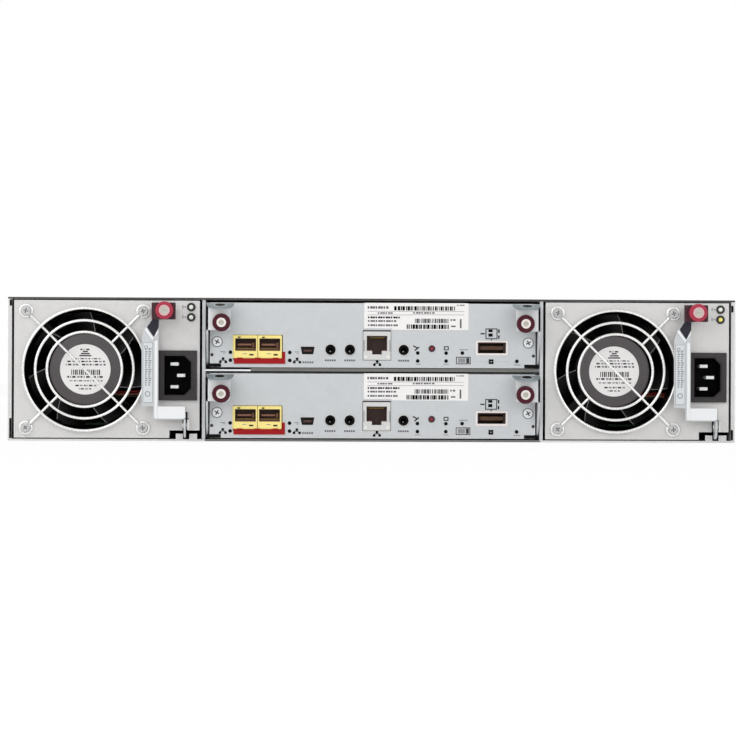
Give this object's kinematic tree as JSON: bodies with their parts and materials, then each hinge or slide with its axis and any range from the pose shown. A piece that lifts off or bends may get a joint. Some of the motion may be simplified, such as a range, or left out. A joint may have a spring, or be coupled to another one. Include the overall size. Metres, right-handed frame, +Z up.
{
  "type": "disk shelf enclosure",
  "caption": "Rack-mounted disk shelf: steel chassis with hot-swap disk carriers in front, and fan-cooled power supplies beside stacked controller modules at the rear.",
  "frame": {"origin": "centre of the chassis's bottom face", "axes": "+Z up, -Y out of the rear panel with its modules, +Y out of the drive bays, +X to the right of someone who looks at the rear panel"},
  "size_m": [0.4826, 0.5964, 0.088],
  "materials": {
    "zinc_steel": "zinc-plated sheet, satin",
    "dark_paint": "satin black paint",
    "circuit_board": "solder mask",
    "black_plastic": "moulded",
    "dark_plastic": "moulded",
    "bright_wire": "bright nickel wire",
    "maroon_plastic": "moulded",
    "drive_casting": "cast and stamped"
  },
  "bodies": {
    "chassis": {"chassis_tub": "zinc_steel", "top_cover": "zinc_steel", "midplane_board": "circuit_board", "drive_cage": "zinc_steel", "module_bay_frame": "zinc_steel", "rack_ears": "dark_paint"},
    "psu_left": {"psu_left_case": "zinc_steel", "psu_left_power_board": "circuit_board", "psu_left_fan_frame": "black_plastic", "psu_left_fan_guard": "bright_wire", "psu_left_ac_inlet": "dark_plastic"},
    "psu_left_fan_rotor_body": {"psu_left_fan_rotor": "black_plastic"},
    "psu_left_latch_body": {"psu_left_latch": "zinc_steel"},
    "psu_left_thumbscrew_body": {"psu_left_thumbscrew": "maroon_plastic"},
    "psu_right": {"psu_right_case": "zinc_steel", "psu_right_power_board": "circuit_board", "psu_right_fan_frame": "black_plastic", "psu_right_fan_guard": "bright_wire", "psu_right_ac_inlet": "dark_plastic"},
    "psu_right_fan_rotor_body": {"psu_right_fan_rotor": "black_plastic"},
    "psu_right_latch_body": {"psu_right_latch": "zinc_steel"},
    "psu_right_thumbscrew_body": {"psu_right_thumbscrew": "maroon_plastic"},
    "controller_a": {"controller_a_case": "zinc_steel", "controller_a_board": "circuit_board", "controller_a_ports": "dark_plastic"},
    "controller_a_left_lever_body": {"controller_a_left_lever": "zinc_steel"},
    "controller_a_left_thumbscrew_body": {"controller_a_left_thumbscrew": "maroon_plastic"},
    "controller_a_right_lever_body": {"controller_a_right_lever": "zinc_steel"},
    "controller_a_right_thumbscrew_body": {"controller_a_right_thumbscrew": "maroon_plastic"},
    "controller_b": {"controller_b_case": "zinc_steel", "controller_b_board": "circuit_board", "controller_b_ports": "dark_plastic"},
    "controller_b_left_lever_body": {"controller_b_left_lever": "zinc_steel"},
    "controller_b_left_thumbscrew_body": {"controller_b_left_thumbscrew": "maroon_plastic"},
    "controller_b_right_lever_body": {"controller_b_right_lever": "zinc_steel"},
    "controller_b_right_thumbscrew_body": {"controller_b_right_thumbscrew": "maroon_plastic"},
    "disk_1_carrier_body": {"disk_1_carrier": "drive_casting"},
    "disk_1_lever_body": {"disk_1_lever": "black_plastic"},
    "disk_2_carrier_body": {"disk_2_carrier": "drive_casting"},
    "disk_2_lever_body": {"disk_2_lever": "black_plastic"},
    "disk_3_carrier_body": {"disk_3_carrier": "drive_casting"},
    "disk_3_lever_body": {"disk_3_lever": "black_plastic"},
    "disk_4_carrier_body": {"disk_4_carrier": "drive_casting"},
    "disk_4_lever_body": {"disk_4_lever": "black_plastic"},
    "disk_5_carrier_body": {"disk_5_carrier": "drive_casting"},
    "disk_5_lever_body": {"disk_5_lever": "black_plastic"},
    "disk_6_carrier_body": {"disk_6_carrier": "drive_casting"},
    "disk_6_lever_body": {"disk_6_lever": "black_plastic"},
    "disk_7_carrier_body": {"disk_7_carrier": "drive_casting"},
    "disk_7_lever_body": {"disk_7_lever": "black_plastic"},
    "disk_8_carrier_body": {"disk_8_carrier": "drive_casting"},
    "disk_8_lever_body": {"disk_8_lever": "black_plastic"},
    "disk_9_carrier_body": {"disk_9_carrier": "drive_casting"},
    "disk_9_lever_body": {"disk_9_lever": "black_plastic"},
    "disk_10_carrier_body": {"disk_10_carrier": "drive_casting"},
    "disk_10_lever_body": {"disk_10_lever": "black_plastic"},
    "disk_11_carrier_body": {"disk_11_carrier": "drive_casting"},
    "disk_11_lever_body": {"disk_11_lever": "black_plastic"},
    "disk_12_carrier_body": {"disk_12_carrier": "drive_casting"},
    "disk_12_lever_body": {"disk_12_lever": "black_plastic"}
  },
  "joints": [
    {"name": "psu_left_slide", "type": "slide", "parent": "chassis", "child": "psu_left", "axis": [0, -1, 0], "range_m": [0, 0.3]},
    {"name": "psu_left_fan_spin", "type": "hinge", "parent": "psu_left", "child": "psu_left_fan_rotor_body", "pos_m": [-0.1766, -0.2784, 0.0438], "axis": [0, 1, 0], "continuous": true},
    {"name": "psu_left_latch_hinge", "type": "hinge", "parent": "psu_left", "child": "psu_left_latch_body", "pos_m": [-0.1145, -0.2894, 0.01], "axis": [1, 0, 0], "range_deg": [0, 60]},
    {"name": "psu_left_thumbscrew_turn", "type": "hinge", "parent": "psu_left_latch_body", "child": "psu_left_thumbscrew_body", "pos_m": [-0.1275, -0.2934, 0.0799], "axis": [0, 1, 0], "continuous": true},
    {"name": "psu_right_slide", "type": "slide", "parent": "chassis", "child": "psu_right", "axis": [0, -1, 0], "range_m": [0, 0.3]},
    {"name": "psu_right_fan_spin", "type": "hinge", "parent": "psu_right", "child": "psu_right_fan_rotor_body", "pos_m": [0.1494, -0.2784, 0.0438], "axis": [0, 1, 0], "continuous": true},
    {"name": "psu_right_latch_hinge", "type": "hinge", "parent": "psu_right", "child": "psu_right_latch_body", "pos_m": [0.2115, -0.2894, 0.01], "axis": [1, 0, 0], "range_deg": [0, 60]},
    {"name": "psu_right_thumbscrew_turn", "type": "hinge", "parent": "psu_right_latch_body", "child": "psu_right_thumbscrew_body", "pos_m": [0.1985, -0.2934, 0.0799], "axis": [0, 1, 0], "continuous": true},
    {"name": "controller_a_slide", "type": "slide", "parent": "chassis", "child": "controller_a", "axis": [0, -1, 0], "range_m": [0, 0.3]},
    {"name": "controller_a_left_lever_hinge", "type": "hinge", "parent": "controller_a", "child": "controller_a_left_lever_body", "pos_m": [-0.1028, -0.2784, 0.0531], "axis": [1, 0, 0], "range_deg": [0, 45]},
    {"name": "controller_a_left_thumbscrew_turn", "type": "hinge", "parent": "controller_a_left_lever_body", "child": "controller_a_left_thumbscrew_body", "pos_m": [-0.0929, -0.2934, 0.0727], "axis": [0, 1, 0], "continuous": true},
    {"name": "controller_a_right_lever_hinge", "type": "hinge", "parent": "controller_a", "child": "controller_a_right_lever_body", "pos_m": [0.1028, -0.2784, 0.0531], "axis": [1, 0, 0], "range_deg": [0, 45]},
    {"name": "controller_a_right_thumbscrew_turn", "type": "hinge", "parent": "controller_a_right_lever_body", "child": "controller_a_right_thumbscrew_body", "pos_m": [0.0929, -0.2934, 0.0727], "axis": [0, 1, 0], "continuous": true},
    {"name": "controller_b_slide", "type": "slide", "parent": "chassis", "child": "controller_b", "axis": [0, -1, 0], "range_m": [0, 0.3]},
    {"name": "controller_b_left_lever_hinge", "type": "hinge", "parent": "controller_b", "child": "controller_b_left_lever_body", "pos_m": [-0.1028, -0.2784, 0.0097], "axis": [1, 0, 0], "range_deg": [0, 45]},
    {"name": "controller_b_left_thumbscrew_turn", "type": "hinge", "parent": "controller_b_left_lever_body", "child": "controller_b_left_thumbscrew_body", "pos_m": [-0.0929, -0.2934, 0.0293], "axis": [0, 1, 0], "continuous": true},
    {"name": "controller_b_right_lever_hinge", "type": "hinge", "parent": "controller_b", "child": "controller_b_right_lever_body", "pos_m": [0.1028, -0.2784, 0.0097], "axis": [1, 0, 0], "range_deg": [0, 45]},
    {"name": "controller_b_right_thumbscrew_turn", "type": "hinge", "parent": "controller_b_right_lever_body", "child": "controller_b_right_thumbscrew_body", "pos_m": [0.0929, -0.2934, 0.0293], "axis": [0, 1, 0], "continuous": true},
    {"name": "disk_1_slide", "type": "slide", "parent": "chassis", "child": "disk_1_carrier_body", "axis": [0, 1, 0], "range_m": [0, 0.2]},
    {"name": "disk_1_lever_hinge", "type": "hinge", "parent": "disk_1_carrier_body", "child": "disk_1_lever_body", "pos_m": [-0.2102, 0.29, 0.0152], "axis": [0, 0, 1], "range_deg": [0, 55]},
    {"name": "disk_2_slide", "type": "slide", "parent": "chassis", "child": "disk_2_carrier_body", "axis": [0, 1, 0], "range_m": [0, 0.2]},
    {"name": "disk_2_lever_hinge", "type": "hinge", "parent": "disk_2_carrier_body", "child": "disk_2_lever_body", "pos_m": [-0.10005, 0.29, 0.0152], "axis": [0, 0, 1], "range_deg": [0, 55]},
    {"name": "disk_3_slide", "type": "slide", "parent": "chassis", "child": "disk_3_carrier_body", "axis": [0, 1, 0], "range_m": [0, 0.2]},
    {"name": "disk_3_lever_hinge", "type": "hinge", "parent": "disk_3_carrier_body", "child": "disk_3_lever_body", "pos_m": [0.0101, 0.29, 0.0152], "axis": [0, 0, 1], "range_deg": [0, 55]},
    {"name": "disk_4_slide", "type": "slide", "parent": "chassis", "child": "disk_4_carrier_body", "axis": [0, 1, 0], "range_m": [0, 0.2]},
    {"name": "disk_4_lever_hinge", "type": "hinge", "parent": "disk_4_carrier_body", "child": "disk_4_lever_body", "pos_m": [0.12025, 0.29, 0.0152], "axis": [0, 0, 1], "range_deg": [0, 55]},
    {"name": "disk_5_slide", "type": "slide", "parent": "chassis", "child": "disk_5_carrier_body", "axis": [0, 1, 0], "range_m": [0, 0.2]},
    {"name": "disk_5_lever_hinge", "type": "hinge", "parent": "disk_5_carrier_body", "child": "disk_5_lever_body", "pos_m": [-0.2102, 0.29, 0.044], "axis": [0, 0, 1], "range_deg": [0, 55]},
    {"name": "disk_6_slide", "type": "slide", "parent": "chassis", "child": "disk_6_carrier_body", "axis": [0, 1, 0], "range_m": [0, 0.2]},
    {"name": "disk_6_lever_hinge", "type": "hinge", "parent": "disk_6_carrier_body", "child": "disk_6_lever_body", "pos_m": [-0.10005, 0.29, 0.044], "axis": [0, 0, 1], "range_deg": [0, 55]},
    {"name": "disk_7_slide", "type": "slide", "parent": "chassis", "child": "disk_7_carrier_body", "axis": [0, 1, 0], "range_m": [0, 0.2]},
    {"name": "disk_7_lever_hinge", "type": "hinge", "parent": "disk_7_carrier_body", "child": "disk_7_lever_body", "pos_m": [0.0101, 0.29, 0.044], "axis": [0, 0, 1], "range_deg": [0, 55]},
    {"name": "disk_8_slide", "type": "slide", "parent": "chassis", "child": "disk_8_carrier_body", "axis": [0, 1, 0], "range_m": [0, 0.2]},
    {"name": "disk_8_lever_hinge", "type": "hinge", "parent": "disk_8_carrier_body", "child": "disk_8_lever_body", "pos_m": [0.12025, 0.29, 0.044], "axis": [0, 0, 1], "range_deg": [0, 55]},
    {"name": "disk_9_slide", "type": "slide", "parent": "chassis", "child": "disk_9_carrier_body", "axis": [0, 1, 0], "range_m": [0, 0.2]},
    {"name": "disk_9_lever_hinge", "type": "hinge", "parent": "disk_9_carrier_body", "child": "disk_9_lever_body", "pos_m": [-0.2102, 0.29, 0.0728], "axis": [0, 0, 1], "range_deg": [0, 55]},
    {"name": "disk_10_slide", "type": "slide", "parent": "chassis", "child": "disk_10_carrier_body", "axis": [0, 1, 0], "range_m": [0, 0.2]},
    {"name": "disk_10_lever_hinge", "type": "hinge", "parent": "disk_10_carrier_body", "child": "disk_10_lever_body", "pos_m": [-0.10005, 0.29, 0.0728], "axis": [0, 0, 1], "range_deg": [0, 55]},
    {"name": "disk_11_slide", "type": "slide", "parent": "chassis", "child": "disk_11_carrier_body", "axis": [0, 1, 0], "range_m": [0, 0.2]},
    {"name": "disk_11_lever_hinge", "type": "hinge", "parent": "disk_11_carrier_body", "child": "disk_11_lever_body", "pos_m": [0.0101, 0.29, 0.0728], "axis": [0, 0, 1], "range_deg": [0, 55]},
    {"name": "disk_12_slide", "type": "slide", "parent": "chassis", "child": "disk_12_carrier_body", "axis": [0, 1, 0], "range_m": [0, 0.2]},
    {"name": "disk_12_lever_hinge", "type": "hinge", "parent": "disk_12_carrier_body", "child": "disk_12_lever_body", "pos_m": [0.12025, 0.29, 0.0728], "axis": [0, 0, 1], "range_deg": [0, 55]}
  ]
}
